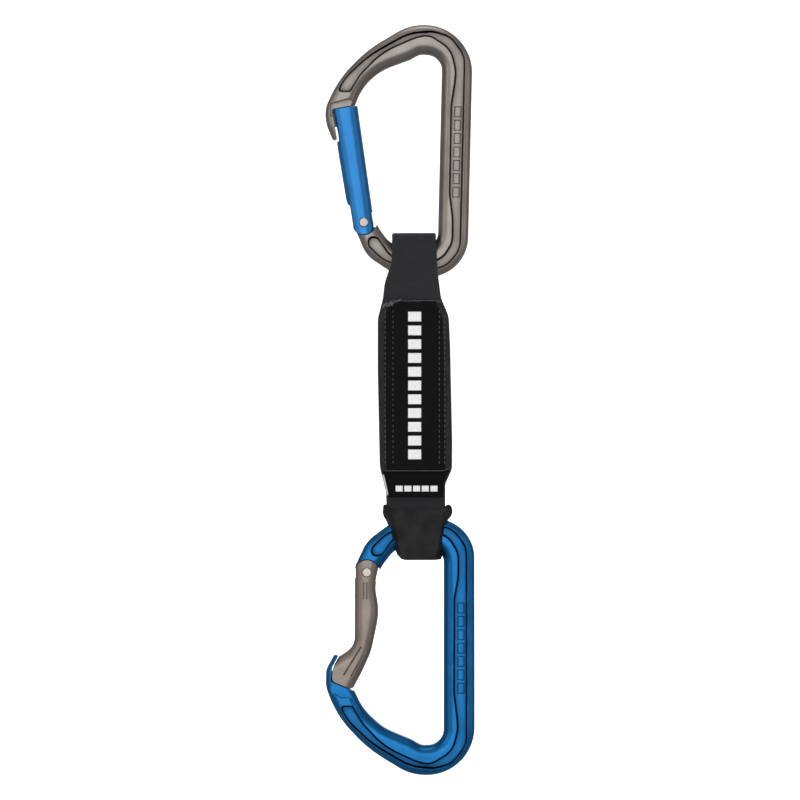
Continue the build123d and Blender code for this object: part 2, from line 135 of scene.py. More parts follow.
# ---- materials -----------------------------------------------------------------------------
class Graph:
    """A material and the few calls that its node trees are written with."""

    def __init__(self, name):
        self.material = bpy.data.materials.new(name)
        self.material.use_nodes = True
        self.tree = self.material.node_tree
        self.surface = self.tree.nodes["Principled BSDF"]

    def add(self, kind, inputs=None, **settings):
        node = self.tree.nodes.new("ShaderNode" + kind)
        for key, value in settings.items():
            setattr(node, key, value)
        for socket, value in (inputs or {}).items():
            self.put(node, socket, value)
        return node

    def put(self, node, socket, value):
        if isinstance(value, bpy.types.NodeSocket):
            self.tree.links.new(value, node.inputs[socket])
        else:
            node.inputs[socket].default_value = value

    def set(self, **sockets):
        for socket, value in sockets.items():
            self.put(self.surface, socket.replace("_", " "), value)

    def math(self, operation, a, b=0.0, clamp=False):
        return self.add("Math", {0: a, 1: b}, operation=operation, use_clamp=clamp).outputs[0]

    def noise(self, place, scale, detail=2.0, rough=0.5):
        inputs = {"Vector": place, "Scale": scale, "Detail": detail, "Roughness": rough}
        return self.add("TexNoise", inputs).outputs["Fac"]

    def stretch(self, place, scale):
        return self.add("Mapping", {"Vector": place, "Scale": scale}).outputs[0]

    def local(self, vector):
        """A direction turned into the piece's own frame, so that it follows each pose."""
        turn = {"vector_type": "NORMAL", "convert_from": "WORLD", "convert_to": "OBJECT"}
        return self.add("VectorTransform", {0: vector}, **turn).outputs[0]

    def mix(self, factor, a, b):
        node = self.add("Mix", data_type="RGBA")
        self.put(node, 0, factor)
        self.put(node, 6, a)
        self.put(node, 7, b)
        return node.outputs[2]

    def ramp(self, value, low, high, out_low=0.0, out_high=1.0):
        inputs = {0: value, 1: low, 2: high, 3: out_low, 4: out_high}
        return self.add("MapRange", inputs, clamp=True).outputs[0]

    def bump(self, height, distance, strength=1.0, normal=None):
        inputs = {"Height": height, "Distance": distance, "Strength": strength}
        if normal is not None:
            inputs["Normal"] = normal
        return self.add("Bump", inputs).outputs[0]


def rgb(red, green, blue):
    """Colour from the values of a colour picker, 0 to 255, made linear."""
    def linear(value):
        value = value / 255
        return value / 12.92 if value <= 0.04045 else ((value + 0.055) / 1.055) ** 2.4
    return (linear(red), linear(green), linear(blue), 1.0)


PAINTED_PIT_SHADE = (0.0015, 0.0015, 0.002, 1.0)    # painted shade on the walls of the forged pockets
PRINT_INK = rgb(198, 198, 200)


def anodised(name, colour, deep, worn, roughness):
    """Tumbled and anodised aluminium: grain, faint mottling, painted shade in recesses, pale worn
    edges.
    """
    g = Graph(name)
    place = g.add("TexCoord").outputs["Object"]
    mottling = g.noise(place, 130, 4)
    grain = g.noise(place, 2600, 3, 0.6)
    drawn = g.noise(g.stretch(place, (1.0, 1.0, 0.06)), 2200, 2)
    shade = g.ramp(mottling, 0.32, 0.7, 0.0, 0.22)
    base = g.mix(shade, colour, deep)
    # Painted shade: hollows found by ambient occlusion are darkened towards the deep colour.
    occlusion = g.add("AmbientOcclusion", {"Distance": 2.6 * MM}, samples=6, only_local=True)
    hollow = occlusion.outputs["AO"]
    base = g.mix(g.ramp(hollow, 0.42, 0.92, 0.92, 0.0), base, deep)
    # Sunken walls that don't face front or back get painted near-black shade, the dark of a
    # pocket's edge.
    flat = g.add("NewGeometry").outputs["True Normal"]
    facing = g.math("ABSOLUTE", g.add("SeparateXYZ", {0: g.local(flat)}).outputs[1])
    sunk = g.ramp(hollow, 0.86, 0.98, 1.0, 0.0)
    wall = g.math("MULTIPLY", g.ramp(facing, 0.5, 0.8, 1.0, 0.0), sunk)
    # Painted shade: everything sunk into a pocket, such as its web, is darkened a little more.
    base = g.mix(g.math("MULTIPLY", sunk, 0.22), base, deep)
    base = g.mix(g.math("MULTIPLY", wall, 0.97), base, PAINTED_PIT_SHADE)
    # Convex edges, where the rounded and the plain normal part, are rubbed pale.
    rounded = g.add("Bevel", {"Radius": 0.3 * MM}, samples=4).outputs[0]
    normal = g.add("NewGeometry").outputs["Normal"]
    agree = g.add("VectorMath", {0: rounded, 1: normal}, operation="DOT_PRODUCT").outputs["Value"]
    edge = g.ramp(g.math("SUBTRACT", 1.0, agree), 0.004, 0.08)
    rubbed = g.math("MULTIPLY", edge, g.ramp(g.noise(place, 420, 5), 0.4, 0.65), True)
    convex = g.math("MULTIPLY", rubbed, g.ramp(hollow, 0.8, 0.98), True)
    base = g.mix(g.math("MULTIPLY", convex, 0.45), base, worn)
    scratch = g.noise(g.stretch(place, (1.0, 1.0, 0.03)), 5200, 1)
    gloss = g.ramp(grain, 0.25, 0.75, roughness - 0.05, roughness + 0.07)
    gloss = g.math("ADD", gloss, g.ramp(scratch, 0.68, 0.8, 0.0, -0.09))
    height = g.math("ADD", grain, g.math("MULTIPLY", drawn, 0.5))
    g.set(Base_Color=base, Metallic=0.93, Roughness=gloss,
          Normal=g.bump(height, 0.012 * MM, 0.55, rounded))
    return g.material


def steel(name, colour, roughness):
    """Peened steel: fine grain, shallow dents and faint stains."""
    g = Graph(name)
    place = g.add("TexCoord").outputs["Object"]
    grain = g.noise(place, 3000, 3)
    dents = g.noise(place, 900, 2)
    stain = g.ramp(g.noise(place, 300, 4), 0.35, 0.7, 0.0, 0.5)
    stained = (colour[0] * 0.55, colour[1] * 0.52, colour[2] * 0.48, 1.0)
    base = g.mix(stain, colour, stained)
    rounded = g.add("Bevel", {"Radius": 0.2 * MM}, samples=4).outputs[0]
    height = g.math("ADD", g.math("MULTIPLY", grain, 0.3), dents)
    gloss = g.ramp(grain, 0.3, 0.7, roughness - 0.06, roughness + 0.1)
    g.set(Base_Color=base, Metallic=1.0, Roughness=gloss,
          Normal=g.bump(height, 0.05 * MM, 0.7, rounded))
    return g.material


def threads(g, across, along):
    """Cloth coordinates and the height of a plain weave; thread pitches in metres."""
    cloth = g.add("UVMap", uv_map="cloth").outputs[0]
    cells = g.stretch(cloth, (1.0 / across, 1.0 / along, 1.0))
    split = g.add("SeparateXYZ", {0: cells}).outputs
    over = g.add("TexChecker", {"Vector": cells, "Scale": 1.0}).outputs["Fac"]
    warp = g.math("ABSOLUTE", g.math("SINE", g.math("MULTIPLY", split[0], math.pi)))
    weft = g.math("ABSOLUTE", g.math("SINE", g.math("MULTIPLY", split[1], math.pi)))
    arch_warp = g.math("MULTIPLY", warp, g.math("POWER", weft, 0.4))
    arch_weft = g.math("MULTIPLY", weft, g.math("POWER", warp, 0.4))
    height = g.add("Mix", {0: over, 2: arch_weft, 3: g.math("MULTIPLY", arch_warp, 0.9)}).outputs[0]
    return cloth, height


def woven(name, colour, light, across, along, depth, sheen, roughness):
    """Heavy webbing: plain weave with fuzz, uneven dye and thread crowns painted paler as
    highlight.
    """
    g = Graph(name)
    cloth, height = threads(g, across, along)
    fibre = g.noise(g.stretch(cloth, (1.0, 0.25, 1.0)), 9000, 2)
    uneven = g.noise(cloth, 160, 3)
    # Painted highlight and shade: thread crowns paler, the dips between threads darker.
    crown = g.ramp(height, 0.35, 1.0, 0.0, 0.55)
    base = g.mix(crown, colour, light)
    base = g.mix(g.ramp(uneven, 0.35, 0.7, 0.0, 0.35), base, colour)
    base = g.mix(g.ramp(fibre, 0.62, 0.8, 0.0, 0.35), base, light)
    relief = g.math("ADD", height, g.math("MULTIPLY", fibre, 0.35))
    g.set(Base_Color=base, Roughness=g.ramp(fibre, 0.3, 0.7, roughness - 0.08, roughness + 0.08),
          Normal=g.bump(relief, depth, 0.8))
    g.set(Sheen_Weight=sheen, Sheen_Roughness=0.45, Specular_IOR_Level=0.16)
    return g.material


def ribbon_print(g, mask_u, mask_v, ink, base):
    """Lays a worn white print over a base colour where both masks are one."""
    worn = g.ramp(ink, 0.28, 0.5, 0.55, 1.0)
    cover = g.math("MULTIPLY", g.math("MULTIPLY", mask_u, mask_v), worn)
    return g.mix(cover, base, PRINT_INK)


def between(g, value, low, high):
    """One where a value lies between two bounds."""
    return g.math("MULTIPLY", g.math("GREATER_THAN", value, low), g.math("LESS_THAN", value, high))


def satin_cover(name, print_box, bar_pitch, bar_share):
    """Satin-woven cover tape: glossy floats, a matt hem, and a dashed white stripe."""
    g = Graph(name)
    cloth, height = threads(g, across=0.22 * MM, along=0.6 * MM)
    split = g.add("SeparateXYZ", {0: cloth}).outputs
    hem = g.add("Attribute", attribute_name="hem").outputs["Fac"]
    fibre = g.noise(g.stretch(cloth, (1.0, 0.15, 1.0)), 8000, 2)
    uneven = g.noise(cloth, 220, 3)
    # Painted highlight: the raised floats of the weave are paler than the dips between them.
    base = g.mix(g.ramp(height, 0.4, 1.0, 0.0, 0.5), rgb(9, 8, 9), rgb(20, 19, 20))
    hem_share = g.math("MULTIPLY", hem, g.ramp(uneven, 0.3, 0.7, 0.45, 0.9))
    base = g.mix(hem_share, base, rgb(38, 40, 39))
    left, right, low, high = print_box
    inside_u = between(g, split[0], left, right)
    inside_v = between(g, split[1], low, high)
    phase = g.math("FRACT", g.math("DIVIDE", g.math("SUBTRACT", split[1], low), bar_pitch))
    bars = g.math("MULTIPLY", inside_v, g.math("LESS_THAN", phase, bar_share))
    base = ribbon_print(g, inside_u, bars, fibre, base)
    relief = g.math("ADD", height, g.math("MULTIPLY", fibre, 0.3))
    rough = g.add("Mix", {0: hem, 2: 0.36, 3: 0.72}).outputs[0]
    g.set(Base_Color=base, Roughness=g.math("ADD", rough, g.ramp(fibre, 0.3, 0.7, -0.04, 0.08)),
          Normal=g.bump(relief, 0.05 * MM, 0.6))
    g.set(Sheen_Weight=0.01, Sheen_Roughness=0.4, Specular_IOR_Level=0.04)
    return g.material


def label_cloth(name, print_box, bar_pitch, bar_share):
    """Fine woven label with a short row of plain white bars."""
    g = Graph(name)
    cloth, height = threads(g, across=0.2 * MM, along=0.24 * MM)
    split = g.add("SeparateXYZ", {0: cloth}).outputs
    fibre = g.noise(cloth, 7000, 2)
    # Painted highlight: the crowns of the weave are paler than the dips between them.
    base = g.mix(g.ramp(height, 0.4, 1.0, 0.0, 0.4), rgb(7, 6, 7), rgb(16, 14, 16))
    left, right, low, high = print_box
    inside_v = between(g, split[1], low, high)
    inside_u = between(g, split[0], left, right)
    phase = g.math("FRACT", g.math("DIVIDE", g.math("SUBTRACT", split[0], left), bar_pitch))
    bars = g.math("MULTIPLY", inside_u, g.math("LESS_THAN", phase, bar_share))
    base = ribbon_print(g, bars, inside_v, fibre, base)
    g.set(Base_Color=base, Roughness=g.ramp(fibre, 0.3, 0.7, 0.42, 0.56),
          Normal=g.bump(height, 0.03 * MM, 0.6))
    g.set(Sheen_Weight=0.01, Sheen_Roughness=0.4, Specular_IOR_Level=0.05)
    return g.material


def twisted_thread(name, colour, light):
    """Polyester sewing thread with a diagonal twist."""
    g = Graph(name)
    place = g.add("TexCoord").outputs["Object"]
    turned = g.add("Mapping", {"Vector": place, "Rotation": (0.0, 0.6, 0.0)}).outputs[0]
    twist = g.add("TexWave", {"Vector": turned, "Scale": 900.0, "Distortion": 1.2},
                  bands_direction="Z").outputs["Fac"]
    fibre = g.noise(place, 9000, 2)
    # Painted highlight: the crowns of the twist are paler than its grooves.
    base = g.mix(g.ramp(twist, 0.3, 0.9), colour, light)
    g.set(Base_Color=base, Roughness=g.ramp(fibre, 0.3, 0.7, 0.4, 0.6),
          Normal=g.bump(g.math("ADD", twist, fibre), 0.05 * MM, 0.7))
    g.set(Sheen_Weight=0.25, Specular_IOR_Level=0.5)
    return g.material


def moulded_rubber(name, colour, light):
    """Matt moulded rubber with a fine spark-eroded skin and paler edges: rubbed, and a painted
    highlight along the rims.
    """
    g = Graph(name)
    place = g.add("TexCoord").outputs["Object"]
    skin = g.noise(place, 3200, 3, 0.6)
    cloud = g.noise(place, 180, 4)
    rounded = g.add("Bevel", {"Radius": 0.5 * MM}, samples=4).outputs[0]
    normal = g.add("NewGeometry").outputs["Normal"]
    agree = g.add("VectorMath", {0: rounded, 1: normal}, operation="DOT_PRODUCT").outputs["Value"]
    edge = g.ramp(g.math("SUBTRACT", 1.0, agree), 0.003, 0.06)
    base = g.mix(g.ramp(cloud, 0.35, 0.7, 0.0, 0.4), colour, light)
    # Painted highlight, with some rubbing: rounded edges are lightened.
    base = g.mix(g.math("MULTIPLY", edge, 0.35), base, light)
    g.set(Base_Color=base, Roughness=g.ramp(skin, 0.3, 0.7, 0.46, 0.62),
          Normal=g.bump(skin, 0.03 * MM, 0.6, rounded))
    g.set(Specular_IOR_Level=0.14)
    return g.material


# ---- mesh helpers --------------------------------------------------------------------------
def mesh_piece(name, verts, faces, material, cloth=None, smooth=True):
    """A mesh object with outward faces; cloth holds each point's place on the flat fabric."""
    mesh = bpy.data.meshes.new(name)
    mesh.from_pydata([tuple(v) for v in verts], [], faces)
    if cloth is not None:
        layer = mesh.uv_layers.new(name="cloth")
        for loop in mesh.loops:
            layer.data[loop.index].uv = cloth[loop.vertex_index]
    work = bmesh.new()
    work.from_mesh(mesh)
    bmesh.ops.recalc_face_normals(work, faces=work.faces)
    work.to_mesh(mesh)
    work.free()
    mesh.polygons.foreach_set("use_smooth", [smooth] * len(mesh.polygons))
    mesh.materials.append(material)
    piece = bpy.data.objects.new(name, mesh)
    bpy.context.scene.collection.objects.link(piece)
    return piece


def tube_faces(rings, around, close_ends=True):
    """Faces of a tube of equal rings."""
    faces = []
    for i in range(rings - 1):
        for j in range(around):
            k = (j + 1) % around
            low, high = i * around, (i + 1) * around
            faces.append((low + j, low + k, high + k, high + j))
    if close_ends:
        faces.append(tuple(range(around))[::-1])
        faces.append(tuple((rings - 1) * around + j for j in range(around)))
    return faces


def slab_faces(columns, rows):
    """Faces of a closed slab: a grid of points, the same grid behind it, and the rim between."""
    width = columns + 1
    size = width * (rows + 1)
    faces = []
    for i in range(rows):
        for j in range(columns):
            a = i * width + j
            faces.append((a, a + 1, a + width + 1, a + width))
            faces.append((size + a, size + a + width, size + a + width + 1, size + a + 1))
    rim = list(range(columns)) + [i * width + columns for i in range(rows)]
    rim += [rows * width + j for j in range(columns, 0, -1)]
    rim += [i * width for i in range(rows, 0, -1)]
    for k, a in enumerate(rim):
        b = rim[(k + 1) % len(rim)]
        faces.append((a, size + a, size + b, b))
    return faces


def resample(points, step):
    """Points evenly spaced along a line of points, about step apart."""
    points = np.array(points, float)
    lengths = np.linalg.norm(np.diff(points, axis=0), axis=1)
    total = np.concatenate([[0.0], np.cumsum(lengths)])
    count = max(2, int(round(total[-1] / step)) + 1)
    wanted = np.linspace(0.0, total[-1], count)
    columns = [np.interp(wanted, total, points[:, k]) for k in range(points.shape[1])]
    return np.stack(columns, axis=1)


def soft_step(value, low, high):
    """Zero below low, one above high, and a smooth rise between."""
    t = min(1.0, max(0.0, (value - low) / (high - low)))
    return t * t * (3 - 2 * t)


# ---- webbing -------------------------------------------------------------------------------
RING_STEP = 0.3 * MM        # spacing of a strap's cross-sections
ACROSS = 26                 # points across each face of a section
SELVEDGE = 5                # points round each edge of a section
SCALLOP = 0.07 * MM         # depth of the weft turns along the edges
SCALLOP_PITCH = 1.2 * MM
SIDE_EASE = 0.1 * MM        # the cloth is this much narrower on each side than the CAD webbing
FACE_EASE = 0.12 * MM       # and this much thinner
RIPPLE = 0.06 * MM          # unevenness of the faces
RIPPLE_SCALE = (150, 90)    # across and along the strap
FADE_RINGS = 12             # sections over which the ripple dies out at an end
ROUTE_STEP = 0.4 * MM
EASING_PASSES = 10
FLARE_POINTS = 25           # along the widening from the flat neck to the open eye
CROWN_STEPS = 48            # round the fold of the eye
CROWN_HEIGHT = 0.86         # height of the fold as a share of its half width
CROWN_POWER = 2 / 2.7       # squares the fold a little
FLARE_START = 0.4 * MM      # inside the flat end of the neck
UPPER_FLARE_END = 3.2 * MM  # past the other end of the neck
LOWER_FLARE_END = 4.6 * MM
JOIN_BELOW_COVER_TOP = 17 * MM      # the front pieces of strap meet here, under the cover
JOIN_ABOVE_COVER_END = 4 * MM


def strap_section(left, right, thick):
    """Closed section of a strap as (x, height) points, with round selvedges."""
    half = thick / 2
    lead = 0.9 * half
    span = right - left - 2 * lead
    section = []
    for i in range(ACROSS):
        t = i / (ACROSS - 1)
        section.append((left + lead + span * t, half))
    for i in range(1, SELVEDGE + 1):
        a = math.pi * i / (SELVEDGE + 1)
        section.append((right - lead + lead * math.sin(a), half * math.cos(a)))
    for i in range(ACROSS):
        t = 1 - i / (ACROSS - 1)
        section.append((left + lead + span * t, -half))
    for i in range(1, SELVEDGE + 1):
        a = math.pi * i / (SELVEDGE + 1)
        section.append((left + lead - lead * math.sin(a), -half * math.cos(a)))
    return section


def strap(name, route, material, start, seed):
    """Woven strap along a route of (y, z) points, from start on the cloth; returns its end too."""
    path = resample(route, RING_STEP)
    tangent = np.gradient(path, axis=0)
    tangent /= np.linalg.norm(tangent, axis=1)[:, None]
    run = np.concatenate([[0.0], np.cumsum(np.linalg.norm(np.diff(path, axis=0), axis=1))])
    verts = []
    cloth = []
    for i, (y, z) in enumerate(path):
        left, right = strap_sides(z)
        length = start + run[i]
        wave = SCALLOP * math.sin(2 * math.pi * length / SCALLOP_PITCH)
        section = strap_section(left + SIDE_EASE - wave, right - SIDE_EASE + wave,
                                STRAP_THICK - FACE_EASE)
        across, up = -tangent[i][1], tangent[i][0]
        fade = min(1.0, i / FADE_RINGS, (len(path) - 1 - i) / FADE_RINGS)
        for x, height in section:
            spot = Vector((x * RIPPLE_SCALE[0], length * RIPPLE_SCALE[1], seed))
            drift = noise.noise(spot) * RIPPLE * fade
            verts.append((x, y + across * (height + drift), z + up * (height + drift)))
            cloth.append((x, length))
    around = 2 * ACROSS + 2 * SELVEDGE
    piece = mesh_piece(name, verts, tube_faces(len(path), around), material, cloth)
    return piece, start + run[-1]


def loop_route(face, neck_start, neck_end, outside, fold, tail_front, tail_back):
    """Route of a loop from one flat face, out round its fold, and back to the other face.
    face is the middle of a sewn layer from the centre plane, outside that of the open eye."""
    up = 1 if fold > neck_start else -1
    spring_line = fold - up * (STRAP_THICK / 2 + outside * CROWN_HEIGHT)
    side = [(-face, tail_front)]
    for i in range(FLARE_POINTS):
        t = i / (FLARE_POINTS - 1)
        z = neck_start + (neck_end - neck_start) * t
        side.append((-(face + (outside - face) * soft_step(t, 0.0, 1.0)), z))
    side.append((-outside, spring_line))
    crown = fold - up * STRAP_THICK / 2
    for i in range(1, CROWN_STEPS):
        a = math.pi * i / CROWN_STEPS
        c, s = math.cos(a), math.sin(a)
        y = -outside * math.copysign(abs(c) ** CROWN_POWER, c)
        side.append((y, spring_line + (crown - spring_line) * s ** CROWN_POWER))
    back = [(-y, z) for y, z in side[1:FLARE_POINTS + 2][::-1]]
    return side + back + [(face, tail_back)]


def smooth_route(route):
    """Route with its corners eased."""
    points = resample(route, ROUTE_STEP)
    for _ in range(EASING_PASSES):
        points[1:-1] = (points[:-2] + 2 * points[1:-1] + points[2:]) / 4
    return points


def make_webbing(material):
    """The whole sling: two loops that open out from their necks, and three flat layers between."""
    face = -(front_low.y + front_high.y) / 2
    outside = eye_high.y - STRAP_THICK / 2
    join_top = cover_high.z - JOIN_BELOW_COVER_TOP
    join_low = cover_low.z + JOIN_ABOVE_COVER_END
    tack_top = (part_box("upper_bar_tack")[0].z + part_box("upper_bar_tack")[1].z) / 2
    tack_low = (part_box("lower_bar_tack")[0].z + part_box("lower_bar_tack")[1].z) / 2
    upper = loop_route(face, neck_low.z + FLARE_START, neck_high.z + UPPER_FLARE_END, outside,
                       eye_high.z, join_top, tack_top)
    lower = loop_route(face, ankle_high.z - FLARE_START, ankle_low.z - LOWER_FLARE_END, outside,
                       foot_low.z, join_low, tack_low)
    front_start = join_top - join_low
    loop, end = strap("upper_sling_loop", smooth_route(upper), material, front_start, seed=3.1)
    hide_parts("webbing_upper_eye", "webbing_upper_neck")
    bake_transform(loop)
    front, _ = strap("sling_front_layer", [(-face, join_low), (-face, join_top)],
                     material, 0.0, seed=7.7)
    back, end = strap("sling_back_layer", [(face, tack_top), (face, tack_low)],
                      material, end, seed=5.3)
    low_z, high_z = (p.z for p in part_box("webbing_overlap_end"))
    middle, _ = strap("sling_overlap_layer", [(0, high_z), (0, low_z)], material, 0.0, seed=9.2)
    foot, _ = strap("lower_sling_loop", smooth_route(lower[::-1]), material, end, seed=1.4)
    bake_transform(foot)
    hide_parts("webbing_lower_eye", "webbing_lower_neck")
    for piece, node in ((front, "webbing_front_layer"), (back, "webbing_back_layer"),
                        (middle, "webbing_overlap_end")):
        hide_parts(node)
        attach(piece, "sling")


# ---- cover tape, label and threads ---------------------------------------------------------
CLOTH_GAP = 0.03 * MM       # between the back of a cloth and the webbing's face


def cloth_patch(name, material, low, high, grid, sides, surface, back, hem_width):
    """Thin closed patch of cloth on a grid of columns and rows.
    sides(z, u) gives its left and right edge and how far its top end shifts;
    surface(x, z, u, v) gives the Y of its face."""
    columns, rows = grid
    verts = []
    cloth = []
    hem = []
    for layer in range(2):
        for i in range(rows + 1):
            v = i / rows
            for j in range(columns + 1):
                u = j / columns
                top = high + sides(high, u)[2]
                z = low + (top - low) * v
                left, right = sides(z, u)[:2]
                x = left + (right - left) * u
                y = surface(x, z, u, v) if layer == 0 else back
                verts.append((x, y, z))
                cloth.append((x, z - low))
                hem.append(1 - soft_step(min(x - left, right - x), hem_width * 0.9, hem_width))
    piece = mesh_piece(name, verts, slab_faces(columns, rows), material, cloth)
    attribute = piece.data.attributes.new("hem", "FLOAT", "POINT")
    attribute.data.foreach_set("value", hem)
    return piece


COVER_INSET = 0.5 * MM      # from the edges of the webbing
COVER_GRID = (110, 330)     # columns and rows of its mesh
COVER_HEM = 2.3 * MM        # width of the matt band along its long edges
EDGE_YARNS = 60             # frayed yarns along the heat-cut end
STITCH_ROWS = (-15.9, -12.9, 4.9, 7.0)      # X of each row of lockstitch, millimetres
STITCH_PITCH = 2.0          # millimetres
STITCH_LENGTH = 1.35 * MM
STITCH_RINGS, STITCH_POINTS = 9, 8  # mesh of one stitch, along and around
DIMPLE_REACH = 0.55         # half width of the dent beside a row, millimetres


def stitch_dimple(x, z, top):
    """Depth, in metres, that the lockstitch rows pull the cover in."""
    depth = 0.0
    for row in STITCH_ROWS:
        near = math.exp(-((x / MM - row) / DIMPLE_REACH) ** 2)
        phase = 2 * math.pi * (top - z) / (STITCH_PITCH * MM)
        depth += near * (0.17 + 0.08 * math.cos(phase)) * MM
    return depth


def thread_run(verts, faces, start, end, radius, rise, out):
    """Adds one stitch: a plump thread from start to end that arches by rise along out."""
    start, end, out = Vector(start), Vector(end), Vector(out)
    line = (end - start).normalized()
    side = line.cross(out)
    first = len(verts)
    for i in range(STITCH_RINGS):
        t = i / (STITCH_RINGS - 1)
        arch = math.sin(math.pi * t)
        centre = start.lerp(end, t) + out * (rise * arch ** 0.6 - radius * 0.6)
        girth = radius * (0.35 + 0.65 * arch ** 0.5)
        for j in range(STITCH_POINTS):
            a = 2 * math.pi * j / STITCH_POINTS
            verts.append(centre + side * (girth * math.cos(a)) + out * (girth * 0.85 * math.sin(a)))
    faces.extend([tuple(first + k for k in f) for f in tube_faces(STITCH_RINGS, STITCH_POINTS)])


def make_cover(material, edge_material, thread_material):
    """Printed tape over the sewn front, its heat-cut edge, turned corner and lockstitch."""
    top, bottom = cover_high.z, cover_low.z
    base = front_low.y

    def sides(z, u):
        left, right = strap_sides(z)
        jag = noise.noise(Vector((u * 23, 4.2, 0.5))) * 0.35 * MM
        droop = -1.3 * MM * max(0.0, 1 - u / 0.16) - 0.9 * MM * max(0.0, (u - 0.93) / 0.07)
        return left + COVER_INSET, right - COVER_INSET, droop + jag

    def surface(x, z, u, v):
        pillow = 0.16 * MM * math.sin(math.pi * min(1, max(0, (u - 0.14) / 0.68))) ** 0.6
        ease = min(1.0, u / 0.02, (1 - u) / 0.02)
        crease = noise.noise(Vector((x * 60, z * 120, 2.0))) * 0.12 * MM
        lift = 0.42 * MM * (0.55 + 0.45 * ease)
        return base - lift - pillow - crease * ease + stitch_dimple(x, z, top)

    tape = cloth_patch("cover_tape_cloth", material, bottom, top, COVER_GRID, sides, surface,
                       base - CLOTH_GAP, COVER_HEM)
    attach(tape, "sling")
    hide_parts("cover_tape")

    # The pale grey of the yarns along the cut end is painted highlight along the edge.
    verts, faces = [], []
    for k in range(EDGE_YARNS):
        u0, u1 = 0.1 + 0.88 * k / EDGE_YARNS, 0.1 + 0.88 * (k + 1.15) / EDGE_YARNS
        ends = []
        for u in (u0, min(u1, 0.99)):
            z = top + sides(top, u)[2]
            left, right = sides(z, u)[:2]
            x = left + (right - left) * u
            ends.append((x, surface(x, z, u, 1.0) + 0.02 * MM, z))
        radius = (0.13 + 0.05 * math.sin(k * 2.3)) * MM
        thread_run(verts, faces, ends[0], ends[1], radius, 0.05 * MM, (0, -0.6, 0.8))
    edge = mesh_piece("cover_heat_cut_edge", verts, faces, edge_material)
    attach(edge, "sling")

    corner = turned_corner(edge_material, sides, surface, top)
    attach(corner, "sling")

    verts, faces = [], []
    rng = random.Random(4)
    z = top - 3.6 * MM
    while z - STITCH_LENGTH > label_high.z + 0.5 * MM:
        for row in STITCH_ROWS:
            x = row * MM
            left, right = strap_sides(z)
            if x < left + 0.9 * MM or x > right - 0.9 * MM:
                continue
            y = base - 0.28 * MM
            skew = rng.uniform(-0.12, 0.12) * MM
            thread_run(verts, faces, (x - skew, y, z), (x + skew, y, z - STITCH_LENGTH),
                       0.17 * MM, 0.12 * MM, (0, -1, 0))
        z -= STITCH_PITCH * MM
    seam = mesh_piece("cover_lockstitch", verts, faces, thread_material)
    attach(seam, "sling")
    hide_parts("cover_stitches")


LOOSE_YARNS = 13            # frayed ends that stand out of the turned corner
ROLLED_YARNS = 9            # yarns of its rolled edge


def turned_corner(material, sides, surface, top):
    """Upper left corner of the cover, turned over and frayed."""
    # Its pale yarns carry a painted highlight, the glints of the turned corner.
    rng = random.Random(11)
    verts, faces = [], []
    for k in range(LOOSE_YARNS):
        u = 0.012 + 0.0125 * k
        z = top + sides(top, u)[2] - 0.2 * MM
        left, right = sides(z, u)[:2]
        x = left + (right - left) * u
        y = surface(x, z, u, 1.0) - 0.05 * MM
        reach = rng.uniform(1.0, 2.6) * MM
        lean = rng.uniform(-0.5, 0.9)
        end = (x + reach * lean, y - rng.uniform(0.05, 0.35) * MM,
               z - reach * rng.uniform(0.5, 1.0))
        thread_run(verts, faces, (x, y, z + 0.2 * MM), end, rng.uniform(0.1, 0.17) * MM,
                   0.25 * MM, (0, -1, 0))
    left = sides(top, 0.0)[0]
    for k in range(ROLLED_YARNS):
        start = Vector((left + (0.9 + 0.55 * k) * MM, 0, top - (2.4 - 0.27 * k) * MM))
        start.y = surface(start.x, start.z, 0.05, 1.0) - 0.08 * MM
        end = start + Vector((1.5 * MM, -0.12 * MM, 0.75 * MM))
        thread_run(verts, faces, start, end, rng.uniform(0.14, 0.22) * MM,
                   0.2 * MM, (0, -1, 0))
    return mesh_piece("cover_turned_corner", verts, faces, material)


TACK_TURNS = 30             # stitches across the webbing


def make_tacks(material):
    """Dense zigzag bar tacks through the back of the sling."""
    for node in ("upper_bar_tack", "lower_bar_tack"):
        low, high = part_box(node)
        verts, faces = [], []
        pitch = (high.x - low.x) / TACK_TURNS
        y = low.y + 0.12 * MM
        rng = random.Random(TACK_TURNS + len(node))
        for k in range(TACK_TURNS):
            a = low.x + pitch * (k + 0.1)
            b = low.x + pitch * (k + 0.75)
            z_low = low.z + rng.uniform(0.0, 0.25) * MM
            z_high = high.z - rng.uniform(0.0, 0.25) * MM
            ends = ((a, y, z_low), (b, y, z_high)) if k % 2 else ((a, y, z_high), (b, y, z_low))
            thread_run(verts, faces, ends[0], ends[1], 0.24 * MM, 0.16 * MM, (0, 1, 0))
        for level in (0.2, 0.5, 0.8):
            z = low.z + (high.z - low.z) * level
            thread_run(verts, faces, (low.x + 0.2 * MM, y, z), (high.x - 0.2 * MM, y, z),
                       0.2 * MM, 0.0, (0, 1, 0))
        tack = mesh_piece(node + "_zigzag", verts, faces, material)
        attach(tack, "sling")
        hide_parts(node)


LABEL_INSET = 0.95 * MM     # from the edges of the webbing
LABEL_GRID = (90, 44)       # columns and rows of its mesh
LABEL_HEM = 0.6 * MM
FOLD_YARNS = 44             # yarns along its folded top edge
TAG_GRID = (6, 26)


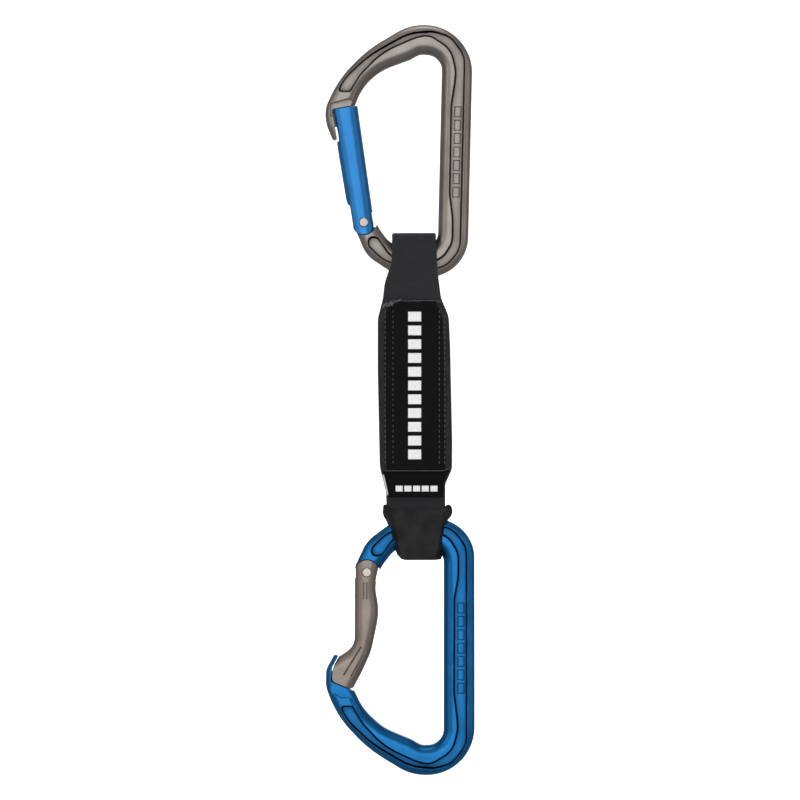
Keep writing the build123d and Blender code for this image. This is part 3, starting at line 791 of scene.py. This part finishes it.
def make_label(material, edge_material, pale):
    """Folded label across the lower end of the sewn front, with its fold and a side tag."""
    base = front_low.y
    top, bottom = label_high.z, label_low.z

    def sides(z, u):
        left, right = strap_sides(z)
        lift = 0.9 * MM * max(0.0, (u - 0.86) / 0.14) ** 2
        return left + LABEL_INSET, right - LABEL_INSET, lift

    def surface(x, z, u, v):
        belly = 0.32 * MM * math.sin(math.pi * min(1.0, max(0.0, u))) ** 0.5
        roll = 0.25 * MM * soft_step(v, 0.86, 1.0)
        ripple = noise.noise(Vector((x * 170, z * 90, 6.0))) * 0.14 * MM
        ease = min(1.0, u / 0.04, (1 - u) / 0.04)
        return base - 0.28 * MM - belly * 0.6 - roll - ripple * ease

    label = cloth_patch("label_cloth", material, bottom, top, LABEL_GRID, sides, surface,
                        base - CLOTH_GAP, LABEL_HEM)
    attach(label, "sling")
    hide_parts("label_tab")
    # The pale yarns along the fold carry a painted highlight.
    verts, faces = [], []
    for k in range(FOLD_YARNS):
        ends = []
        for step in (k, k + 1.2):
            u = min(0.995, 0.005 + 0.99 * step / FOLD_YARNS)
            z = top + sides(top, u)[2]
            left, right = sides(z, u)[:2]
            x = left + (right - left) * u
            ends.append((x, surface(x, z, u, 1.0) + 0.05 * MM, z - 0.02 * MM))
        thread_run(verts, faces, ends[0], ends[1], 0.17 * MM, 0.02 * MM, (0, -0.7, 0.7))
    fold = mesh_piece("label_fold_edge", verts, faces, edge_material)
    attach(fold, "sling")

    verts, cloth = [], []
    columns, rows = TAG_GRID
    for layer in (0.0, 1.0):
        for i in range(rows + 1):
            z = top - 1.6 * MM + (bottom + 0.9 * MM - top + 1.6 * MM) * i / rows
            left = strap_sides(z)[0]
            for j in range(columns + 1):
                x = left + (0.28 + 0.72 * j / columns) * MM
                y = base - (0.34 + 0.12 * math.sin(math.pi * j / columns) - 0.18 * layer) * MM
                verts.append((x, y, z))
                cloth.append((x, z))
    tag = mesh_piece("label_side_tag", verts, slab_faces(columns, rows), pale, cloth)
    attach(tag, "sling")


# ---- keeper --------------------------------------------------------------------------------
FOOT_WALL = 1.4 * MM
BOOT_WALL = 1.3 * MM
BOOT_INSIDE = 7.05 * MM     # inner half depth, clear of the eye
BOOT_ROUNDING = 0.45 * MM
FOOT_TAPER = 0.05           # how much shallower the foot is than the mouth, as a share
LIP_DROPS = (2.1, 2.1, 1.0, 0.45)   # how far the first levels sink at the panels, millimetres
LIP_SHARE = 0.6             # points further out than this share of the depth sink in full
EAR_DROP = 0.15             # the others sink by this share
# Outline of the boot at each level, millimetres: left ear, left and right edge of the flat panel
# and right ear, in from the left of the keeper's box, then the depth below its top.
BOOT_LEVELS = (
    (0.5, 4.0, 23.2, 26.1, 0.8), (0.3, 3.9, 23.3, 26.9, 1.7), (0.2, 4.0, 23.4, 27.1, 3.9),
    (0.5, 4.3, 23.3, 26.6, 5.5), (1.5, 4.8, 23.1, 25.1, 7.3), (2.5, 5.2, 22.7, 24.0, 9.3),
    (3.8, 5.8, 22.0, 23.6, 13.4), (4.7, 6.4, 21.3, 23.5, 17.5), (5.7, 7.2, 20.7, 23.3, 20.3),
    (7.5, 8.9, 20.1, 22.7, 22.2),
)


def boot_ring(level, deep):
    """Section of the boot at one level, seven points along the front and seven along the back,
    with its middle X and its height."""
    ear_l, panel_l, panel_r, ear_r, below = level
    middle = (panel_l + panel_r) / 2
    half = keeper_high.y / MM
    front = [(ear_l, 0.30), (ear_l * 0.4 + panel_l * 0.6, 0.76), (panel_l, 1.0), (middle, 1.0),
             (panel_r, 1.0), (ear_r * 0.5 + panel_r * 0.5, 0.74), (ear_r, 0.30)]
    ring = [(keeper_low.x + x * MM, -share * half * deep * MM) for x, share in front]
    ring += [(x, -y) for x, y in ring[::-1]]
    return ring, keeper_low.x + middle * MM, keeper_high.z - below * MM


def make_keeper(material):
    """Rubber boot: open top, faceted ears round the rod, angular front panel, closed foot."""
    outer, inner = [], []
    for k, level in enumerate(BOOT_LEVELS):
        deep = 1.0 - FOOT_TAPER * soft_step(k / (len(BOOT_LEVELS) - 1), 0.5, 1.0)
        ring, middle, z = boot_ring(level, deep)
        lip = LIP_DROPS[k] * MM if k < len(LIP_DROPS) else 0.0
        floor = FOOT_WALL if k == len(BOOT_LEVELS) - 1 else 0.0
        for x, y in ring:
            drop = lip if abs(y) > LIP_SHARE * keeper_high.y else lip * EAR_DROP
            outer.append((x, y, z - drop))
            x_in = x - math.copysign(min(BOOT_WALL, abs(x - middle)), x - middle)
            y_in = math.copysign(min(abs(y), BOOT_INSIDE), y)
            inner.append((x_in, y_in, z - drop + floor))
    around, count = len(ring), len(outer)
    last = count - around
    skin = tube_faces(len(BOOT_LEVELS), around, False)
    faces = skin + [tuple(count + j for j in reversed(face)) for face in skin]
    for j in range(around):
        faces.append((j, (j + 1) % around, count + (j + 1) % around, count + j))
    faces.append(tuple(last + j for j in range(around)))
    faces.append(tuple(count + last + j for j in reversed(range(around))))
    boot = mesh_piece("keeper_boot", outer + inner, faces, material, smooth=False)
    rounding = boot.modifiers.new("round", "BEVEL")
    rounding.width = BOOT_ROUNDING
    rounding.segments = 3
    rounding.limit_method = "ANGLE"
    rounding.angle_limit = math.radians(14)
    rounding.harden_normals = True
    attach(boot, "lower_carabiner")
    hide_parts("keeper")


# ---- gate springs --------------------------------------------------------------------------
SPRING_WIRE = 0.25 * MM     # radius of the wire
SPRING_TURNS = 9
SPRING_CLOSED = 0.9         # turns that lie flat at each end
STEPS_PER_TURN = 26
WIRE_POINTS = 8


def make_spring(material, node, slide, gate):
    """Coil of wire in the gate's bore, along its pushrod's slide."""
    axis = Vector(joints[slide]["axis"]).normalized()
    low_box, high_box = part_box(node)
    centre = (low_box + high_box) / 2
    offsets = [v.co - centre for v in nodes[node].data.vertices]
    spans = [offset.dot(axis) for offset in offsets]
    low, high = min(spans), max(spans)
    side = axis.cross(Vector((0, 1, 0))).normalized()
    other = axis.cross(side)
    radii = [(offset - axis * offset.dot(axis)).length for offset in offsets]
    mean = max(radii) - SPRING_WIRE
    steps = SPRING_TURNS * STEPS_PER_TURN
    verts = []
    for i in range(steps + 1):
        t = i / steps
        a = 2 * math.pi * SPRING_TURNS * t
        open_turns = SPRING_TURNS - 2 * SPRING_CLOSED
        eased = min(1.0, max(0.0, (t * SPRING_TURNS - SPRING_CLOSED) / open_turns))
        spot = low + SPRING_WIRE + (high - low - 2 * SPRING_WIRE) * eased
        radial = side * math.cos(a) + other * math.sin(a)
        for j in range(WIRE_POINTS):
            b = 2 * math.pi * j / WIRE_POINTS
            along = axis * (spot + SPRING_WIRE * math.sin(b))
            verts.append(centre + along + radial * (mean + SPRING_WIRE * math.cos(b)))
    coil = mesh_piece(node + "_coil", verts, tube_faces(steps + 1, WIRE_POINTS), material)
    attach(coil, gate)
    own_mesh(coil)
    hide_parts(node)


# ---- stage, lights and camera --------------------------------------------------------------
FLOOR_DROP = 0.05           # metres below the object
DISH_RADIUS = 4.0
FLAT_RADIUS = 2.0
RIM_RISE = 2.6
WORLD_STRENGTH = 0.30
# Name, place from the middle of the object, width and height, and power of each softbox.
SOFTBOXES = (
    ("front_softbox", (-0.1, -2.2, 0.25), (1.9, 1.7), 20),
    ("left_softbox", (-1.5, -1.1, 0.4), (0.7, 1.4), 5),
    ("right_softbox", (1.6, -0.9, 0.2), (0.5, 1.3), 3),
    ("top_softbox", (0.0, -0.2, 1.5), (1.2, 0.8), 7),
    ("back_softbox", (0.3, 2.3, 0.5), (1.6, 1.5), 16),
)
LENS_MM = 150.0
SENSOR_MM = 36.0
VIEW_HEIGHT = 0.30856       # metres that the square picture spans at the object


def make_stage(middle):
    """A wide pale dish: floor below the object, rising far away on every side."""
    g = Graph("pale_stage")
    place = g.add("TexCoord").outputs["Object"]
    grain = g.noise(place, 60, 3)
    g.set(Base_Color=g.mix(grain, rgb(250, 250, 250), rgb(246, 246, 247)), Roughness=0.9)
    g.set(Emission_Color=(1, 1, 1, 1), Emission_Strength=0.55, Specular_IOR_Level=0.1)
    verts = []
    around, rings = 72, 30
    floor_z = cad_box[0].z - FLOOR_DROP
    for i in range(rings + 1):
        radius = DISH_RADIUS * i / rings + 0.001
        rise = max(0.0, (radius - FLAT_RADIUS) / FLAT_RADIUS)
        z = floor_z + RIM_RISE * rise ** 2.2
        for j in range(around):
            a = 2 * math.pi * j / around
            verts.append((middle.x + radius * math.cos(a), radius * math.sin(a), z))
    faces = tube_faces(rings + 1, around, False)
    faces.append(tuple(range(around)))
    dish = mesh_piece("stage_floor", verts, faces, g.material)
    dish.visible_glossy = False


def softbox(name, place, aim, size, power):
    """Rectangular area light that points at the object."""
    light = bpy.data.lights.new(name, "AREA")
    light.shape = "RECTANGLE"
    light.size = size[0]
    light.size_y = size[1]
    light.energy = power
    lamp = bpy.data.objects.new(name, light)
    lamp.location = place
    lamp.rotation_euler = (aim - Vector(place)).to_track_quat("-Z", "Y").to_euler()
    bpy.context.scene.collection.objects.link(lamp)


def make_light(middle):
    """Broad frontal softbox, side fills, a top strip, a back light and a white world."""
    for name, (right, back, up), size, power in SOFTBOXES:
        softbox(name, (middle.x + right, back, middle.z + up), middle, size, power)
    world = bpy.data.worlds.new("studio")
    world.use_nodes = True
    background = world.node_tree.nodes["Background"]
    background.inputs["Color"].default_value = (1, 1, 1, 1)
    background.inputs["Strength"].default_value = WORLD_STRENGTH
    bpy.context.scene.world = world


def make_camera(middle):
    """Long lens at the object's own height, square on to the front."""
    data = bpy.data.cameras.new("camera")
    data.lens = LENS_MM
    data.sensor_width = SENSOR_MM
    camera = bpy.data.objects.new("camera", data)
    camera.location = (middle.x, -VIEW_HEIGHT * LENS_MM / SENSOR_MM, middle.z)
    camera.rotation_euler = (math.pi / 2, 0, 0)
    bpy.context.scene.collection.objects.link(camera)
    bpy.context.scene.camera = camera


# ---- build ---------------------------------------------------------------------------------
middle = (cad_box[0] + cad_box[1]) / 2
middle.y = 0.0
make_camera(middle)
make_light(middle)
make_stage(middle)
bpy.context.scene.view_settings.view_transform = "Standard"

# White prints: left, right, low and high edge on the cloth, pitch of the bars, and white share.
COVER_PRINT = ((-7.1 * MM, -2.1 * MM, 4.2 * MM, 62.5 * MM), 5.3 * MM, 0.7)
LABEL_PRINT = ((-11.9 * MM, 4.2 * MM, 2.3 * MM, 4.5 * MM), 3.35 * MM, 0.8)

# Each anodised finish: its colour, the deeper colour of its mottling and of the painted shade in
# recesses, the paler one of worn edges, and its roughness.
GREY = anodised("grey_anodised", rgb(140, 134, 129), rgb(34, 28, 26), rgb(205, 198, 190), 0.36)
BLUE = anodised("blue_anodised", rgb(28, 106, 164), rgb(0, 16, 44), rgb(120, 180, 230), 0.34)
GATE_BLUE = anodised("gate_blue_anodised", rgb(50, 124, 186), rgb(0, 52, 120),
                     rgb(130, 190, 240), 0.42)
GATE_GREY = anodised("gate_grey_anodised", rgb(146, 135, 127), rgb(52, 44, 40),
                     rgb(200, 190, 180), 0.44)
STEEL = steel("rivet_steel", rgb(182, 178, 168), 0.36)
WIRE = steel("spring_wire", rgb(200, 198, 194), 0.25)
WEBBING = woven("webbing_weave", rgb(26, 26, 29), rgb(52, 52, 56), across=0.42 * MM,
                along=0.55 * MM, depth=0.09 * MM, sheen=0.10, roughness=0.82)
COVER = satin_cover("cover_satin", *COVER_PRINT)
LABEL = label_cloth("label_satin", *LABEL_PRINT)
# The pale grey of the cover's edge yarns is painted highlight along the cut edge and corner.
EDGE = twisted_thread("heat_cut_highlight_yarn", rgb(44, 44, 46), rgb(96, 96, 98))
THREAD = twisted_thread("seam_thread", rgb(26, 28, 28), rgb(58, 60, 60))
# The fold yarn's pale grey is painted highlight along the label's fold.
LABEL_EDGE = twisted_thread("label_fold_highlight_yarn", rgb(34, 33, 36), rgb(72, 70, 74))
PALE = woven("pale_tag", rgb(150, 148, 146), rgb(205, 203, 200), across=0.2 * MM,
             along=0.3 * MM, depth=0.03 * MM, sheen=0.2, roughness=0.7)
RUBBER = moulded_rubber("keeper_rubber", rgb(14, 14, 16), rgb(44, 43, 45))

CAD_FINISH = {
    "upper_carabiner_body": GREY, "lower_carabiner_body": BLUE,
    "upper_gate": GATE_BLUE, "lower_gate": GATE_GREY,
    "upper_gate_rivet": STEEL, "lower_gate_rivet": STEEL,
    "upper_pushrod": STEEL, "lower_pushrod": STEEL,
}
for name, finish in CAD_FINISH.items():
    nodes[name].data.materials.clear()
    nodes[name].data.materials.append(finish)

make_webbing(WEBBING)
make_cover(COVER, EDGE, THREAD)
make_tacks(THREAD)
make_label(LABEL, LABEL_EDGE, PALE)
make_keeper(RUBBER)
make_spring(WIRE, "upper_gate_spring", "upper_pushrod_slide", "upper_gate")
make_spring(WIRE, "lower_gate_spring", "lower_pushrod_slide", "lower_gate")
